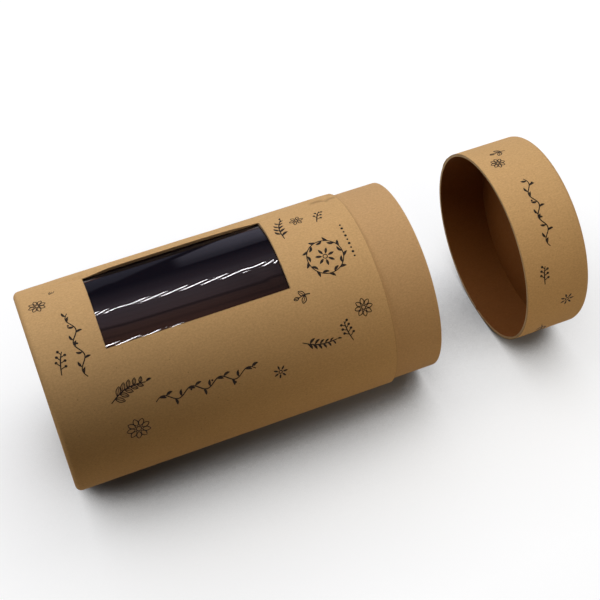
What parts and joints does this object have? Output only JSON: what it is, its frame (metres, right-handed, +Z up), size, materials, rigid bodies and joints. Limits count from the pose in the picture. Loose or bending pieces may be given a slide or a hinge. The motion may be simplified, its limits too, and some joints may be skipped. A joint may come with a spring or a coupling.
{
  "type": "cylindrical gift tube box",
  "caption": "Round paper gift tube with rolled rims, a film window along its side, an inner neck and a lift-off lid lying beside it.",
  "frame": {"origin": "on the surface that the parts lie on, under the middle of the whole length of tube and lid", "axes": "+X along the tube's axis from the base towards the lid, +Z up through the middle of the window"},
  "size_m": [0.2214, 0.083, 0.083],
  "materials": {
    "kraft_wrap": "matte uncoated kraft paper with fine fibres",
    "tube_board": "matte brown tube board with pale cut edges",
    "facing_paper": "matte uncoated kraft paper",
    "grey_board": "matte recycled board",
    "tape": "thin double-sided adhesive tape",
    "film": "clear glossy film"
  },
  "bodies": {
    "tube": {"outer_wrap": "kraft_wrap", "outer_tube": "tube_board", "liner_tube": "tube_board", "film_tape": "tape", "window_film": "film", "base_facing": "facing_paper", "base_disc": "grey_board", "base_lining": "facing_paper"},
    "lid": {"lid_wrap": "kraft_wrap", "lid_tube": "tube_board", "lid_lining": "facing_paper", "lid_disc": "grey_board", "lid_facing": "facing_paper"}
  },
  "joints": [
    {"name": "lid_slide", "type": "slide", "parent": "tube", "child": "lid", "axis": [1, 0, 0], "range_m": [-0.0577, 0]}
  ]
}
